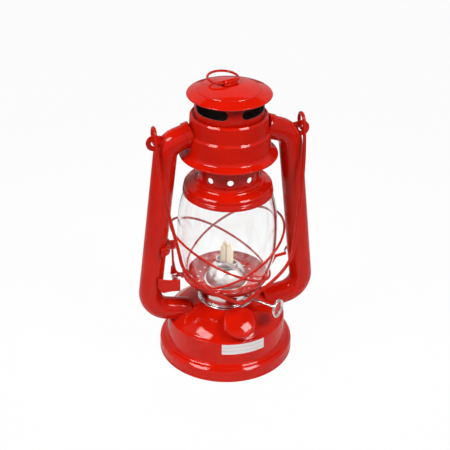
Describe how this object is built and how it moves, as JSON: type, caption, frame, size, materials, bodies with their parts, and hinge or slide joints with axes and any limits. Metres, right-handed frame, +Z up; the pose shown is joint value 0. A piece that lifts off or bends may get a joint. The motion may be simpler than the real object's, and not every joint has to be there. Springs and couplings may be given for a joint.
{
  "type": "kerosene lantern",
  "caption": "Red tubular hurricane lantern with a fuel tank, flat wick burner, glass globe in a wire guard, sliding chimney hood and a wire carrying bail.",
  "frame": {"origin": "centre of the foot, on the floor", "axes": "+Z up along the chimney, -Y to the front where the filler cap is, +X to the tube on the side of the wick knob"},
  "size_m": [0.151, 0.114, 0.2485],
  "materials": {
    "red_enamel": "glossy enamel",
    "bright_metal": "polished nickel plate",
    "clear_glass": "clear",
    "cotton": "woven",
    "black_rubber": "matte",
    "white_paper": "matte"
  },
  "bodies": {
    "frame": {"tank_shell": "red_enamel", "tank_bottom": "red_enamel", "tank_baffle": "red_enamel", "filler_neck": "red_enamel", "paper_label": "white_paper", "burner_collar": "bright_metal", "burner_body": "bright_metal", "burner_cone": "bright_metal", "wick_tube": "bright_metal", "spindle_bush": "bright_metal", "lever_bracket": "red_enamel", "lever_pin": "bright_metal", "left_air_tube": "red_enamel", "right_air_tube": "red_enamel", "tube_collars": "red_enamel", "crown": "red_enamel", "left_ear": "red_enamel", "right_ear": "red_enamel"},
    "gasket": {"filler_gasket": "black_rubber"},
    "filler_cap": {"filler_cap": "red_enamel"},
    "wick": {"wick": "cotton"},
    "knob": {"wick_spindle": "bright_metal", "wick_sprockets": "bright_metal", "wick_knob": "bright_metal"},
    "carriage": {"globe_plate": "red_enamel", "globe": "clear_glass", "guard_hoop_left": "red_enamel", "guard_hoop_right": "red_enamel", "left_guide": "red_enamel", "lift_post": "red_enamel", "right_guide": "red_enamel"},
    "lever": {"lift_lever": "red_enamel", "lever_peg": "red_enamel"},
    "hood": {"hood_bell": "red_enamel", "chimney_tube": "red_enamel", "vent_ring": "red_enamel", "hood_cap": "red_enamel", "ring_strap": "red_enamel"},
    "lift_ring": {"lift_ring": "red_enamel"},
    "bail": {"bail": "red_enamel"}
  },
  "joints": [
    {"name": "filler_lift", "type": "slide", "parent": "frame", "child": "gasket", "axis": [0, -0.6018, 0.7986], "range_m": [0, 0.00601]},
    {"name": "filler_turn", "type": "hinge", "parent": "gasket", "child": "filler_cap", "pos_m": [0, -0.0374, 0.04314], "axis": [0, -0.6018, 0.7986], "range_deg": [0, 720]},
    {"name": "knob_turn", "type": "hinge", "parent": "frame", "child": "knob", "pos_m": [-0.00333, -0.00302, 0.0585], "axis": [0.6717, -0.7408, 0], "range_deg": [-420, 76]},
    {"name": "wick_feed", "type": "slide", "parent": "frame", "child": "wick", "axis": [0, 0, 1], "range_m": [-0.022, 0.004]},
    {"name": "globe_lift", "type": "slide", "parent": "frame", "child": "carriage", "axis": [0, 0, 1], "range_m": [0, 0.008]},
    {"name": "lever_press", "type": "hinge", "parent": "frame", "child": "lever", "pos_m": [-0.0433, 0.002, 0.07], "axis": [1, 0, 0], "range_deg": [0, 35.01]},
    {"name": "hood_lift", "type": "slide", "parent": "carriage", "child": "hood", "axis": [0, 0, 1], "range_m": [0, 0.014]},
    {"name": "ring_swing", "type": "hinge", "parent": "hood", "child": "lift_ring", "pos_m": [0, 0, 0.24629], "axis": [0.9336, 0.3584, 0], "range_deg": [0, 160]},
    {"name": "bail_swing", "type": "hinge", "parent": "frame", "child": "bail", "pos_m": [0, 0, 0.20687], "axis": [-1, 0, 0], "range_deg": [0, 250]}
  ],
  "couplings": [
    {"joint": "filler_lift", "follows": "filler_turn", "m_per_rad": 0.0004775},
    {"joint": "wick_feed", "follows": "knob_turn", "m_per_rad": 0.003},
    {"joint": "lever_press", "follows": "globe_lift", "rad_per_m": 76.371}
  ]
}
